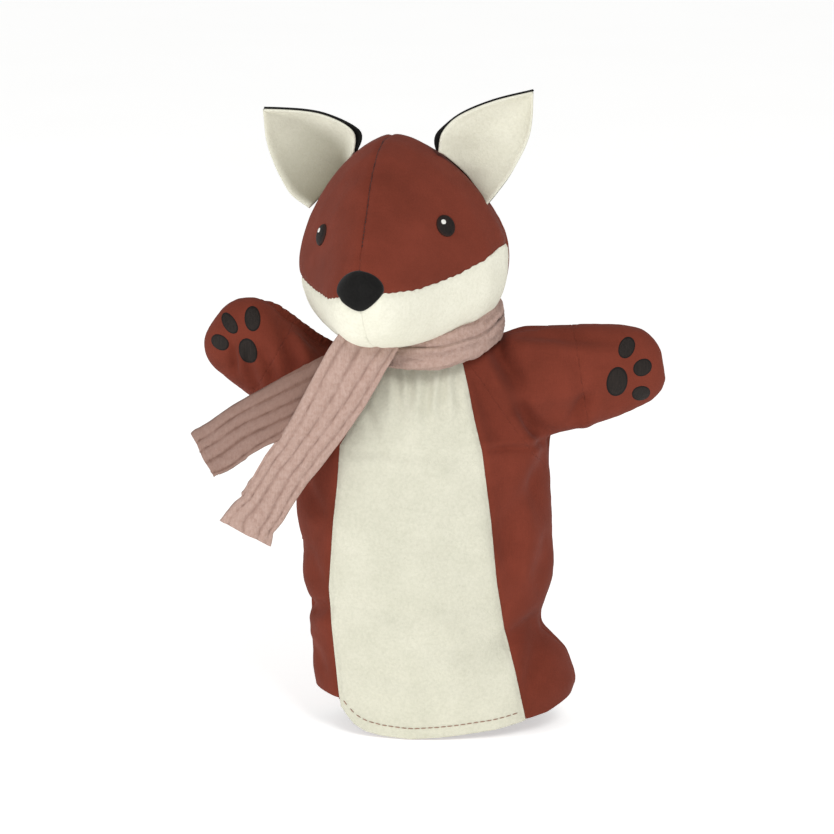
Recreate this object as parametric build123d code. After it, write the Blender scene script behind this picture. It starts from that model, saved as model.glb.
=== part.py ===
"""Fox hand puppet: a sewn glove with a stuffed head, two arms, two ears and a scarf.

Millimetres.  Z is up through the head, the face looks toward -Y, +X is the viewer's right.
The origin is the centre of the hem opening, where the hand goes in.
"""
import os

from build123d import *

# ---- cloth and general clearances -------------------------------------------------------
CLOTH = 1.6             # sewn cotton with its seam allowance, one wall
LINING = 1.2            # turned-in facing of the hem
THREAD = 0.7            # height of a raised row of thread
MOVE_GAP = 0.4          # air between two cloth edges that slide past each other

# ---- glove ------------------------------------------------------------------------------
GLOVE_TOP = 163.5       # the yoke closes the glove here
# height, middle in x, half width, half depth
GLOVE_SECTIONS = [
    (-4.0, 0.0, 50.0, 30.5),
    (22.0, 3.0, 54.5, 31.5),
    (50.0, -2.0, 49.5, 32.0),
    (92.0, -3.0, 53.5, 33.0),
    (GLOVE_TOP - 35.5, -3.0, 53.0, 31.0),
    (GLOVE_TOP - 15.5, -3.0, 52.0, 27.0),
    (GLOVE_TOP - 3.5, -3.0, 50.0, 22.5),
    (GLOVE_TOP + 5.5, -3.0, 46.0, 16.0),
    (GLOVE_TOP + 10.5, -3.0, 40.0, 9.0),
]
HEM_CURVE = 193.0       # radius the hem is cut to, seen from the front
HEM_FACING = 12.0       # how far the facing is turned up inside
STITCH_UP = 4.8         # the row of stitching stands this far above the hem
SIDE_SEAM_Y = 8.0       # where the side panels meet the back panel
BELLY_OUTLINE = [       # x, z of the seams round the cream panel, seen from the front
    (-40.0, -6.0), (-44.0, 56.0), (-38.0, GLOVE_TOP - 35.5), (-24.0, GLOVE_TOP - 11.5),
    (-20.0, GLOVE_TOP + 6.5), (14.0, GLOVE_TOP + 6.5), (19.0, GLOVE_TOP - 25.5),
    (25.0, 100.0), (29.0, 65.0), (42.0, -6.0),
]

# ---- neck -------------------------------------------------------------------------------
NECK_X = -3.0
NECK_Z = GLOVE_TOP + 0.5    # the head nods and turns about this point
FINGER_HOLE = 8.8       # radius inside the card tube: an adult's first finger
TUBE_WALL = 0.8
TUBE_BOTTOM = NECK_Z - 6.0
TUBE_LENGTH = 50.0
CASING_RADIUS = 18.0
COLLAR_WIDTH = 3.4      # the casing's turned-in top, round the tube
CASING_MOUTH = FINGER_HOLE + TUBE_WALL + MOVE_GAP + COLLAR_WIDTH
CASING_TOP = (CASING_RADIUS ** 2 - CASING_MOUTH ** 2) ** 0.5    # above the neck's centre
CASING_BOTTOM = -11.0
NECK_RING_WALL = 2.1
NECK_RING_RADIUS = CASING_RADIUS + MOVE_GAP + NECK_RING_WALL
NECK_RING_BOTTOM = GLOVE_TOP - 11.5
NECK_CORD = 1.1         # radius of the cord that draws the casing in
CORD_GAP = 0.3          # air round that cord
STUB_RADIUS = CASING_MOUTH - MOVE_GAP   # cloth neck of the head, round the tube

# ---- scarf loop -------------------------------------------------------------------------
WRAP_THICK = 3.6        # half
WRAP_TALL = 8.0         # half
WRAP_RADIUS = NECK_RING_RADIUS + WRAP_THICK + MOVE_GAP
WRAP_Z = GLOVE_TOP + 7.5

# ---- head -------------------------------------------------------------------------------
HEAD_GAP = 1.15         # air between the scarf loop and the hollow under the head
WRAP_REACH = ((WRAP_RADIUS + WRAP_THICK) ** 2 + (WRAP_Z - NECK_Z + WRAP_TALL) ** 2) ** 0.5
HEAD_HOLLOW = WRAP_REACH + HEAD_GAP     # the head is hollowed this far from the neck's centre
HEAD_CENTRE = (-11.0, -2.0, NECK_Z + 51.0)
HEAD_TURN = -24.0
HEAD_TILT = -8.0
# y, middle in z, half width, half height, from the back of the head to the muzzle
HEAD_SECTIONS = [
    (36.0, 0.0, 12.0, 11.0),
    (30.5, 0.0, 26.0, 25.0),
    (18.0, 0.0, 39.5, 38.5),
    (4.0, 0.6, 45.0, 44.0),
    (-8.0, 0.6, 40.5, 44.5),
    (-23.0, -3.0, 29.0, 40.0),
    (-33.0, -8.2, 23.5, 33.3),
    (-42.0, -14.0, 18.5, 25.5),
    (-50.0, -16.0, 13.5, 19.0),
    (-56.0, -14.5, 8.0, 12.0),
]
HEAD_BACK_Y = 12.0      # seam between the face and the back of the head
FACE_SEAM_Z = -13.0     # rust above, cream below, at the muzzle
FACE_SEAM_Y = -47.0
FACE_SEAM_SLOPE = 9.0   # degrees it climbs toward the cheeks
NOSE_PLACE = (0.0, -55.5, -10.0)
NOSE_SIZE = (10.0, 5.5, 9.0)
EYE_PLACE = (30.5, -19.5, 9.0)
EYE_SIZE = (4.6, 4.6, 5.2)
GLINT_SHIFT = (-2.4, -3.2, 2.4)
GLINT_RADIUS = 1.2

# ---- ears -------------------------------------------------------------------------------
EAR_OUTLINE = [         # x, z in the head, from the inner end of the base round to the outer
    (20.5, 43.5), (21.0, 51.5), (38.0, 59.5), (54.0, 63.0), (66.0, 62.0),
    (65.0, 46.0), (58.0, 30.0), (50.5, 16.5),
]
EAR_LAYER = 1.3

# ---- arms -------------------------------------------------------------------------------
SHOULDER_OUT = 47.0     # from the middle of the glove
SHOULDER_Z = GLOVE_TOP - 12.5
ARM_ROOT_TALL = 22.0    # half
SHOULDER_ROOM = 1.0     # the round space round an arm's root is this much larger
SHOULDER_RADIUS = ARM_ROOT_TALL + SHOULDER_ROOM
GLOVE_MIDDLE = -3.0
# distance from the shoulder, half height, half depth
ARM_SECTIONS = [
    (-SHOULDER_RADIUS, ARM_ROOT_TALL, 21.0),
    (-8.0, 21.5, 18.5),
    (12.0, 20.0, 15.5),
    (27.0, 19.0, 14.2),
    (42.0, 17.8, 13.0),
    (52.0, 16.4, 10.5),
    (57.0, 12.5, 6.5),
    (59.5, 7.0, 3.0),
]
ELBOW = 31.5            # the paw folds forward here
ELBOW_GAP = 3.0
ELBOW_Y = -12.0
RIGHT_ARM_UP = 9.0
LEFT_ARM_UP = 31.0
# pads of a paw: distance from the shoulder, height, half length, half width, lean
MAIN_PAD = (38.5, -2.0, 4.6, 6.6, 0.0)
TOE_PADS = [
    (44.0, 10.4, 3.6, 4.6, 25.0),
    (50.0, 1.2, 3.4, 4.4, 0.0),
    (46.8, -9.2, 3.6, 4.2, -30.0),
]

# ---- scarf knot and tails ---------------------------------------------------------------
KNOT_PLACE = (-20.0, -(WRAP_RADIUS + WRAP_THICK + 2.4), NECK_Z - 5.5)
KNOT_SIZE = (8.5, 3.9, 6.0)
TAIL_CLOTH = 1.4
TAIL_GAP = 1.7          # air in front of the deepest place of the glove
TAIL_APART = 1.4        # air between the tails
DEEPEST = max(deep for _, _, _, deep in GLOVE_SECTIONS)
REAR_TAIL_Y = -(DEEPEST + TAIL_GAP + TAIL_CLOTH / 2)    # middle of its thickness
FRONT_TAIL_Y = REAR_TAIL_Y - TAIL_CLOTH - TAIL_APART
TAIL_PIVOT = (-24.0, NECK_Z - 7.0)
TAIL_PIN = 1.0          # radius of the thread that holds the tails at the knot
# x, z of the tails' outlines from the pivot
FRONT_TAIL = [
    (-20.0, 4.0), (6.0, 4.0), (-3.0, -7.0), (-13.0, -21.0), (-36.0, -52.0),
    (-45.0, -69.0), (-65.0, -59.0), (-52.0, -36.0), (-33.0, -8.0),
]
REAR_TAIL = [
    (-20.0, 3.0), (6.0, 4.0), (4.0, -6.0), (-26.0, -20.0), (-49.0, -31.0),
    (-69.0, -39.0), (-76.0, -22.0), (-60.0, -13.0), (-44.0, -4.0),
]

BIG = 400.0


def save(name, shape):
    """One named piece, one file."""
    solids = shape.solids()
    whole = solids[0] if len(solids) == 1 else Compound(children=list(solids))
    whole.label = name
    export_step(whole, f"parts/{name}.step")
    print(name, len(solids), round(sum(s.volume for s in solids), 1))


def largest(shape):
    """The main solid, without the crumbs a cut may leave."""
    return max(shape.solids(), key=lambda s: s.volume)


def ellipsoid(place, size):
    """A solid ellipsoid with half axes size."""
    return Pos(*place) * scale(Sphere(1.0), by=size)


def glove_form(inset):
    """The glove's outside, or the same form standing in by inset."""
    faces = [Pos(x, 0, z) * Ellipse(wide - inset, deep - inset)
             for z, x, wide, deep in GLOVE_SECTIONS]
    return loft(faces)


def hem_keep(raise_by):
    """Everything above the curved hem, or above a line raised from it."""
    centre = HEM_CURVE + raise_by
    return Pos(0, 0, centre) * Rot(90, 0, 0) * Cylinder(HEM_CURVE, BIG)


def prism_y(outline, y_from, y_to):
    """An outline in x and z carried from y_from to y_to."""
    wire = Polyline(*[(x, y_from, z) for x, z in outline], close=True)
    return extrude(make_face(wire), amount=y_to - y_from, dir=(0, 1, 0))


def half_space(side, at):
    """All that lies on one side of a plane: side is '-y', '+y', '-x', '+x' or '+z'."""
    axis = {"x": 0, "y": 1, "z": 2}[side[1]]
    centre = [0.0, 0.0, 0.0]
    centre[axis] = at + (BIG / 2 if side[0] == "+" else -BIG / 2)
    return Pos(*centre) * Box(2 * BIG if axis else BIG,
                              2 * BIG if axis != 1 else BIG,
                              2 * BIG if axis != 2 else BIG)


def shoulder_place(side):
    """Where an arm swings: side is -1 for the viewer's left, +1 for the right."""
    return Pos(GLOVE_MIDDLE + side * SHOULDER_OUT, 0, SHOULDER_Z)


def shoulder_drum(side, radius):
    """The round space a shoulder turns in."""
    return shoulder_place(side) * Rot(90, 0, 0) * Cylinder(radius, BIG / 2)


def neck_cylinder(radius, bottom, top):
    """A cylinder on the neck's axis."""
    return Pos(NECK_X, 0, (bottom + top) / 2) * Cylinder(radius, top - bottom)


def neck_ball(radius):
    """A ball about the neck's centre."""
    return Pos(NECK_X, 0, NECK_Z) * Sphere(radius)


def make_glove():
    """Belly, sides, back, yoke, neck ring and hem of the glove."""
    outer = glove_form(0)
    inner = glove_form(CLOTH)
    keep = hem_keep(0)
    wall = (outer - inner) & keep
    wall = wall - half_space("+z", GLOVE_TOP)
    wall = wall - neck_cylinder(NECK_RING_RADIUS, NECK_RING_BOTTOM, GLOVE_TOP + 5)
    for side in (-1, 1):
        wall = wall - shoulder_drum(side, SHOULDER_RADIUS + MOVE_GAP)
    belly_cut = prism_y(BELLY_OUTLINE, -BIG / 2, 0)
    front = wall & half_space("-y", SIDE_SEAM_Y)
    save("belly_panel", largest(front & belly_cut))
    sides = front - belly_cut
    save("left_side_panel", largest(sides & half_space("-x", GLOVE_MIDDLE)))
    save("right_side_panel", largest(sides & half_space("+x", GLOVE_MIDDLE)))
    save("back_panel", largest(wall & half_space("+y", SIDE_SEAM_Y)))

    yoke = inner & half_space("+z", GLOVE_TOP - CLOTH)
    yoke = yoke - half_space("+z", GLOVE_TOP)
    yoke = yoke - neck_cylinder(NECK_RING_RADIUS, 0, BIG)
    for side in (-1, 1):
        yoke = yoke - shoulder_drum(side, SHOULDER_RADIUS + MOVE_GAP)
    halves = sorted(yoke.solids(), key=lambda s: s.center().X)
    save("left_yoke", halves[0])
    save("right_yoke", halves[-1])

    ring = neck_cylinder(NECK_RING_RADIUS, NECK_RING_BOTTOM, GLOVE_TOP)
    save("neck_ring", largest(ring - neck_ball(CASING_RADIUS + MOVE_GAP)))

    facing = (inner - glove_form(CLOTH + LINING)) & keep
    save("hem_facing", largest(facing - hem_keep(HEM_FACING)))

    row = glove_form(-THREAD) - outer
    row = (row & hem_keep(STITCH_UP - THREAD)) - hem_keep(STITCH_UP)
    save("hem_stitching", largest(row & half_space("-y", 0) & belly_cut))


def make_neck():
    """The gathered casing that the head sits on, and the cord that draws it in."""
    low = NECK_Z + CASING_BOTTOM
    high = NECK_Z + CASING_TOP
    band = neck_cylinder(CASING_RADIUS + 1, low, high)
    wall = (neck_ball(CASING_RADIUS) - neck_ball(CASING_RADIUS - CLOTH)) & band
    tube_out = FINGER_HOLE + TUBE_WALL
    collar = neck_cylinder(CASING_RADIUS, high - 2 * CLOTH, high) & neck_ball(CASING_RADIUS)
    casing = wall + collar
    casing = casing - neck_cylinder(tube_out + MOVE_GAP, low - 5, high + 5)
    groove_z = high - 2 * CLOTH - NECK_CORD - CORD_GAP
    reach = (CASING_RADIUS - CLOTH - NECK_CORD - CORD_GAP) ** 2 - (groove_z - NECK_Z) ** 2
    cord = Pos(NECK_X, 0, groove_z) * Torus(reach ** 0.5, NECK_CORD)
    save("neck_casing", largest(casing))
    save("neck_cord", cord)


def head_form(inset):
    """The head's outside, or the same form standing in by inset; the face looks along -Y."""
    faces = []
    last = len(HEAD_SECTIONS) - 1
    for number, (y, z, wide, tall) in enumerate(HEAD_SECTIONS):
        shift = -inset if number == 0 else inset if number == last else 0.0
        place = Pos(0, y + shift, z) * Rot(90, 0, 0)
        faces.append(place * Ellipse(wide - inset, tall - inset))
    return loft(faces)


def head_placed(shape):
    """From the head's own straight position to where it looks aside and tilts."""
    return Pos(*HEAD_CENTRE) * Rot(0, HEAD_TILT, 0) * Rot(0, 0, HEAD_TURN) * shape


def below_face_seam():
    """Everything under the seam between rust and cream."""
    block = Pos(0, 0, -BIG / 2) * Box(BIG, BIG, BIG)
    return Pos(0, FACE_SEAM_Y, FACE_SEAM_Z) * Rot(FACE_SEAM_SLOPE, 0, 0) * block


def make_head():
    """Sewn panels, stuffing, card tube, nose and eyes."""
    outer = head_form(0)
    inner = head_form(CLOTH)
    hollow = neck_ball(HEAD_HOLLOW + LINING)
    tube_out = FINGER_HOLE + TUBE_WALL
    tube_top = TUBE_BOTTOM + TUBE_LENGTH
    stub_low = NECK_Z + CASING_TOP + MOVE_GAP
    stub_high = NECK_Z + HEAD_HOLLOW + 4
    stub_block = neck_cylinder(STUB_RADIUS, stub_low, stub_high)
    tube_block = neck_cylinder(tube_out, TUBE_BOTTOM, tube_top)

    wall = outer - inner
    cream = below_face_seam()
    face = wall & half_space("-y", HEAD_BACK_Y)
    panels = {
        "head_face_left": (face - cream) & half_space("-x", 0),
        "head_face_right": (face - cream) & half_space("+x", 0),
        "muzzle_left": (face & cream) & half_space("-x", 0),
        "muzzle_right": (face & cream) & half_space("+x", 0),
        "head_back": wall & half_space("+y", HEAD_BACK_Y),
    }
    for name, panel in panels.items():
        save(name, largest(head_placed(panel) - hollow))

    base = head_placed(outer) & (hollow - neck_ball(HEAD_HOLLOW))
    save("head_base", largest(base - stub_block - tube_block))
    stuffing = head_placed(inner) - hollow - stub_block - tube_block
    save("head_stuffing", largest(stuffing))
    stub = stub_block - tube_block
    save("head_neck", largest(stub))
    tube = tube_block - neck_cylinder(FINGER_HOLE, TUBE_BOTTOM - 5, tube_top - TUBE_WALL)
    save("finger_tube", largest(tube))

    nose = ellipsoid(NOSE_PLACE, NOSE_SIZE) - outer
    save("nose", largest(head_placed(nose)))
    for side, word in ((-1, "left"), (1, "right")):
        x, y, z = EYE_PLACE
        eye_form = ellipsoid((side * x, y, z), EYE_SIZE)
        glint_at = (side * x + GLINT_SHIFT[0] * 0.5 + side * 3.0, y + GLINT_SHIFT[1], z + GLINT_SHIFT[2])
        glint_form = Pos(*glint_at) * Sphere(GLINT_RADIUS)
        save(f"{word}_eye", largest(head_placed(eye_form - outer)))
        save(f"{word}_eye_glint", largest(head_placed(glint_form - eye_form - outer)))


def make_ears():
    """Two leaves each: cream in front, black behind."""
    clear = head_form(-MOVE_GAP - 0.4)
    for side, word in ((-1, "left"), (1, "right")):
        outline = [(side * x, z) for x, z in EAR_OUTLINE]
        layers = {"front": (-EAR_LAYER, 0.0), "back": (0.0, EAR_LAYER)}
        for layer, (start, stop) in layers.items():
            leaf = prism_y(outline, start, stop) - clear
            save(f"{word}_ear_{layer}", largest(head_placed(leaf)))


def arm_form(inset):
    """A sleeve with its paw, pointing along +X from the shoulder."""
    faces = []
    last = len(ARM_SECTIONS) - 1
    for number, (out, tall, deep) in enumerate(ARM_SECTIONS):
        shift = -inset if number == last else 0.0
        faces.append(Pos(out + shift, 0, 0) * Rot(0, 90, 0) * Ellipse(tall - inset, deep - inset))
    return loft(faces)


def pad_block(pad):
    """An upright oval block through the front of the paw."""
    out, up, half_long, half_wide, lean = pad
    oval = Pos(out, 0, up) * Rot(0, -lean, 0) * Rot(90, 0, 0) * Ellipse(half_long, half_wide)
    return extrude(oval, amount=BIG / 4, dir=(0, -1, 0))


def make_arm(side, word, lift):
    """Sleeve, paw front and back, and the pads, in the place of rest."""
    place = shoulder_place(side) * Rot(0, -side * lift, 0)

    def placed(shape):
        """Turned to this side of the glove and lifted."""
        turned = shape if side > 0 else mirror(shape, about=Plane.YZ)
        return place * turned

    arm_out = arm_form(0)
    arm_in = arm_form(CLOTH)
    round_root = Rot(90, 0, 0) * Cylinder(SHOULDER_RADIUS, BIG / 2) + half_space("+x", 0)
    sleeve = ((arm_out - arm_in) & round_root) - half_space("+x", ELBOW - ELBOW_GAP / 2)
    save(f"{word}_sleeve", placed(largest(sleeve)))

    paw = (arm_out - arm_in) & half_space("+x", ELBOW + ELBOW_GAP / 2)
    save(f"{word}_paw_front", placed(largest(paw & half_space("-y", 0))))
    save(f"{word}_paw_back", placed(largest(paw & half_space("+y", 0))))
    raised = arm_form(-THREAD) - arm_out
    save(f"{word}_palm_pad", placed(largest(raised & pad_block(MAIN_PAD))))
    for number, pad in enumerate(TOE_PADS, start=1):
        save(f"{word}_toe_pad_{number}", placed(largest(raised & pad_block(pad))))


def make_scarf():
    """A loop round the neck, a knot, and two tails that hang from it."""
    ring_face = Pos(NECK_X + WRAP_RADIUS, 0, WRAP_Z) * Rot(90, 0, 0) * Ellipse(WRAP_THICK, WRAP_TALL)
    wrap = revolve(ring_face, axis=Axis((NECK_X, 0, 0), (0, 0, 1)))
    wrap = wrap & half_space("+z", GLOVE_TOP)
    save("scarf_loop", largest(wrap))

    x, z = TAIL_PIVOT
    pin_back = KNOT_PLACE[1]
    pin_front = FRONT_TAIL_Y - TAIL_CLOTH / 2 - 0.6
    pin = Pos(x, (pin_back + pin_front) / 2, z) * Rot(90, 0, 0) * Cylinder(TAIL_PIN, pin_back - pin_front)
    knot = ellipsoid(KNOT_PLACE, KNOT_SIZE) - glove_form(0) - wrap
    knot = knot - neck_cylinder(NECK_RING_RADIUS, 0, BIG)
    knot = largest(knot)
    save("scarf_knot", knot)
    save("knot_thread", largest(pin - knot))
    hole = Pos(x, 0, z) * Rot(90, 0, 0) * Cylinder(TAIL_PIN + MOVE_GAP, BIG)
    for name, outline, y in (("scarf_front_tail", FRONT_TAIL, FRONT_TAIL_Y),
                             ("scarf_rear_tail", REAR_TAIL, REAR_TAIL_Y)):
        placed = [(x + out, z + up) for out, up in outline]
        tail = prism_y(placed, y - TAIL_CLOTH / 2, y + TAIL_CLOTH / 2)
        save(name, largest(tail - hole))


def main():
    """Build every piece."""
    os.makedirs("parts", exist_ok=True)
    make_glove()
    make_neck()
    make_head()
    make_ears()
    make_arm(-1, "left", LEFT_ARM_UP)
    make_arm(1, "right", RIGHT_ARM_UP)
    make_scarf()


main()
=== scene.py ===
"""Fox hand puppet: sewn cotton glove, stuffed head, folded ears and a muslin scarf.

Metres, in the frame of the CAD.  Sizes below are in millimetres and pass through MM.
"""
from math import cos, exp, pi, radians, sin, sqrt

import bmesh
import bpy
from mathutils import Matrix, Vector, noise
from mathutils.bvhtree import BVHTree

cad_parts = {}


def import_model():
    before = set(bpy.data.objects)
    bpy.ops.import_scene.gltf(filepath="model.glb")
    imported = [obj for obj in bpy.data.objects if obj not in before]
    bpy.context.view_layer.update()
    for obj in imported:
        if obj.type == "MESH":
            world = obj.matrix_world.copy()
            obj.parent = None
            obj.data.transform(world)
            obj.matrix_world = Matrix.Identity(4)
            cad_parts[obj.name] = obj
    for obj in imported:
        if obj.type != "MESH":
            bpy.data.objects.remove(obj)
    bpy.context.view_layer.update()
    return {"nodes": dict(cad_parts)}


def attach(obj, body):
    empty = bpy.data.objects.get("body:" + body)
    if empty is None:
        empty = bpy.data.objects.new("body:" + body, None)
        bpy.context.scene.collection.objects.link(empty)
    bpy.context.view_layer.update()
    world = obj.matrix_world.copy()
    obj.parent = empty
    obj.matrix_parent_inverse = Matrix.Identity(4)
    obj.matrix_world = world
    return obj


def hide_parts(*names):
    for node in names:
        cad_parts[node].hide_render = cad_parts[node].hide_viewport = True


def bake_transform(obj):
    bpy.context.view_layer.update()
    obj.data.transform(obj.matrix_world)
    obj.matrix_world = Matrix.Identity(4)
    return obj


MM = 0.001
ROOM_LIGHT = 0.5        # strength of the white room
FLOOR_GLOW = 0.5        # strength of the light from below the floor
# name, place and size in metres, power in watts
LIGHTS = [("key", (0.5, -1.15, 1.3), 0.6, 9.5), ("fill", (-1.25, -1.0, 0.4), 1.2, 10.5)]
LIGHT_AIM = (0, 0, 0.15)
CAMERA_AWAY = 1.25      # metres from what it looks at
CAMERA_RISE = 12.0      # degrees above level
CAMERA_AIM = (-0.0056, 0.0, 0.1363)
VIEW_WIDTH = 0.3603     # metres across the view at that distance
SENSOR = 36
FLOOR_HALF = 12000
FLOOR_DROP = 0.6        # the floor lies this far below the hem

# ---- the glove -------------------------------------------------------------------------
# height, left edge, right edge, half depth
GLOVE_RINGS = [
    (-14, -50, 55, 27), (-2, -50, 58, 29), (8, -50, 61.5, 30), (20, -51, 65, 31),
    (32, -52.5, 61, 31.5), (44, -52.5, 49.5, 32), (54, -52, 50.5, 32.5), (66, -55, 54.5, 33),
    (80, -56, 55, 33.5), (95, -57.5, 54, 33.5), (112, -57.5, 53, 32.5), (128, -57, 53, 31),
    (144, -54, 48, 28), (156, -48, 42, 24), (166, -40, 34, 19), (172, -30, 24, 14),
]
# distance from the shoulder, lowest, highest, half depth
ARM_RINGS = {
    "right": [
        (-22, -20, 22, 20), (0, -23, 25, 17), (10, -22.5, 24, 15.5), (20, -21.5, 23, 14.5),
        (32, -19.5, 21.5, 13.5), (42, -18, 19.5, 12), (50, -16, 16.5, 9.5),
        (55.5, -12.5, 11, 6), (58, -8, 6, 2.5),
    ],
    "left": [
        (-22, -20, 20, 20), (0, -21, 20, 17), (10, -19.5, 20.5, 15.5), (20, -18.5, 21.5, 14.5),
        (32, -17.3, 22, 13), (41, -15.5, 20.5, 11.5), (46.6, -12.5, 16.5, 9), (49.8, -9, 12, 6),
        (51.4, -5, 7, 2.5),
    ],
}
SHOULDER_X = {"left": -50.0, "right": 44.0}
SHOULDER_Z = 151.0
ARM_UP = {"left": 31.0, "right": 9.0}
CLOTH = 1.1             # wall of the sewn cotton
SKIN_GRAIN = 2.0        # size of the net that a sewn skin is built on
# where a sleeve starts to follow the arm, and where it follows it fully: x, z
RAGLAN = {"left": ((-40.0, 145.0), (-62.0, 154.0)), "right": ((33.0, 140.0), (57.0, 157.0))}
CUFF = (21.0, 34.0)     # along the arm: where the paw starts to fold, and where it has folded
# seams beside the belly: height, x
BELLY_LEFT = [(-20, -37), (10, -38.5), (17.5, -39.7), (46, -42.3), (65, -43.6), (95, -41.5),
              (111, -39.7), (129, -38.4), (154, -23.3), (180, -17)]
BELLY_RIGHT = [(-20, 44), (7, 41.5), (30, 36.7), (48, 32), (70, 28.5), (97, 25.9), (110, 24.2),
               (127, 22), (141, 18.6), (154, 16), (165, 13.4), (180, 11)]
# the hem: x, height
SIDE_HEM = [(-60, 19.5), (-49, 17), (-39, 15), (-28, 10), (-16, 5.5), (0, 3), (20, 4), (41, 7),
            (51, 9), (62, 14)]
BELLY_HEM = [(-60, 12), (-38.5, 11), (-36, 8), (-33, 4.6), (-28, 2), (-21, 0.7), (-8, 0), (10, 1.4),
             (28, 3.6), (42, 6.6), (60, 9)]
FACING_DEEP = 11        # how far the turned-in hem reaches up
FACING_IN = 1.3         # how far inside the cloth it lies
FACING_WALL = 0.8
STITCH_UP = 4.9         # height of the sewn row above the hem
STITCH_ROW = (-38.0, 41.0, 29)          # where it starts and ends, and how many points it has
HEM_STITCH = (2.75, 0.27)               # length and half thickness of a stitch
FOREHEAD_STITCH = (1.5, 0.27)
# large pad and toe pads: name, x, z, half width, half height, lean to the right in degrees
PADS = {
    "right": [("palm_pad", 79.7, 154.3, 4.7, 6.8, 5), ("toe_pad_1", 83.8, 168.6, 3.5, 4.6, 28),
              ("toe_pad_2", 90.7, 160.0, 4.3, 3.8, -20), ("toe_pad_3", 90.4, 148.4, 4.2, 3.6, 8)],
    "left": [("palm_pad", -77.5, 167.8, 4.0, 5.6, -15), ("toe_pad_1", -75.6, 181.1, 3.5, 5.2, -6),
             ("toe_pad_2", -85.4, 179.0, 2.9, 4.9, -38), ("toe_pad_3", -89.6, 170.8, 4.2, 3.3, 25)],
}
PAD_RISE = 0.45
PATCH_WALL = 0.5        # wall of the pads, the eyes and the nose
# folds pressed into the front of the glove: x, z of each end, half width, depth
FRONT_FOLDS = [
    (-14, 164, -13, 141, 2.0, 1.6), (-8, 164, -9, 146, 1.8, 1.4), (-1, 165, -2, 137, 2.2, 1.7),
    (6, 166, 5, 143, 1.8, 1.6), (11, 166, 12, 139, 2.0, 1.4), (-30, 150, -20, 128, 2.5, 1.0),
    (-38, 127, 22, 125.5, 2.5, 0.6), (-30, 60, 0, 54, 4, 0.7), (-8, 44, 20, 40, 4, 0.8),
    (2, 60, 24, 62, 5, 0.5), (-12, 92, 18, 78, 6, 0.6), (-30, 30, -4, 24, 4, 0.6),
    (27, 172, 40, 150, 3.8, 5.6), (37, 146, 52, 126, 3.0, 3.6), (20, 158, 34, 118, 5.0, 2.0),
    (60, 136, 68, 150, 3.2, 2.6), (54, 126.5, 18, 127.5, 1.6, 1.6), (54, 128, 38, 96, 4.5, 1.8),
    (49, 52, 30, 40, 4.5, 2.8), (48, 47, 42, 12, 5.0, 2.4), (52, 90, 46, 62, 4.0, 1.8),
    (36, 112, 32, 70, 6.0, 1.6), (36, 174, 80, 171, 2.4, 1.8), (47, 140, 84, 147, 5.0, 1.4),
    (60, 172, 70, 138, 4.0, 1.2), (30, 100, 40, 60, 5.0, 1.6), (44, 116, 50, 92, 4.0, 1.4),
    (-38, 164, -70, 189, 5.0, 4.4), (-57, 158, -63, 180, 3.0, 3.4), (-66, 154, -73, 172, 2.2, 1.8),
    (-84, 158, -84, 173, 1.8, 2.0), (-73, 150, -78, 166, 2.4, 1.6),
    (-54, 52, -42, 58, 3.5, 2.2), (-56, 84, -46, 62, 4.0, 1.6), (-52, 38, -46, 22, 3.0, 1.6),
    (-56, 112, -44, 96, 4.5, 1.6),
]

# ---- the head --------------------------------------------------------------------------
HEAD_CENTRE = (-13.4, -2.0, 214.0)
HEAD_TURN = -17.5
HEAD_TILT = -5.0
# y, top, bottom, height of the widest place, half width there
HEAD_RINGS = [
    (40, 8, -12, -2, 10), (37, 20, -22, -3, 21), (29, 33, -34, -5, 34.5), (16, 42, -42, -7, 44),
    (3, 45.4, -44, -8, 46.6), (-9, 44.3, -44, -9, 42.8), (-19, 40, -43, -11, 36),
    (-29, 31, -41.5, -13, 29), (-38, 18.5, -39.5, -14, 23.5), (-46, 8, -37, -15, 18.5),
    (-52, 1, -33, -15.5, 14), (-56.5, -4.5, -26, -15.5, 8.5),
]
CROWN = 1.55            # how round the head is above its widest place
JOWL = 2.5              # and below it
HEAD_BACK_Y = 12.0      # where the back panel starts
HEAD_GRAIN = 1.7        # size of the net its skin is built on
# seam between rust and cream: x from the middle of the face, height
FACE_SEAM = [(-50, -11), (-43.5, -13), (-30, -16), (-17, -16.2), (0, -12.5), (9, -13.6), (21, -14.6),
             (31, -12.6), (40.5, -8.7), (48, -1.8), (52, 2)]
NECK = (-3.0, 0.0, 164.0)
NECK_HOLLOW = 31.0      # the head is hollowed this far from the neck's centre
NOSE = (-0.3, -12.0, 10.4, 8.4)     # x, z, half width, half height on the muzzle
NOSE_RISE = 2.4
EYES = {"left": (-23.3, -25.0, 7.4), "right": (28.8, -22.0, 8.3)}
EYE_HALF = (4.4, 4.8)
EYE_RISE = 1.5
GLINT_HALF = (1.15, 1.15)
GLINT_RISE = 0.35
GLINT_AT = (-1.2, 1.6)  # across and up from the middle of the eye
EAR_PAINTED_SHADE = {"left": 0.95, "right": 0.25}    # painted shade: how grey the lining is painted down inside each ear
EAR_CUP = 8.0           # how deep they are cupped
EAR_WALL = 0.9
EAR_SPLAY = 0.3         # how far the ears turn back toward their outer edges
# ear outlines in the head: from the inner end of the base up to the tip, then from the
# outer end of the base up to the tip: x, z
EARS = {
    "right": ([(21.3, 36.5), (23.7, 44.4), (30.5, 50.6), (44.4, 55.4), (61.0, 58.2)],
              [(38.1, 12.2), (43.5, 17.8), (51.5, 28), (58.6, 42), (61.0, 58.2)]),
    "left": ([(-16.5, 38.3), (-16.5, 47.2), (-28.3, 53.6), (-42, 56), (-60.5, 57.0)],
             [(-41.8, 14.2), (-50.6, 20.6), (-57.3, 32.6), (-60.3, 43.6), (-60.5, 57.0)]),
}

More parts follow.
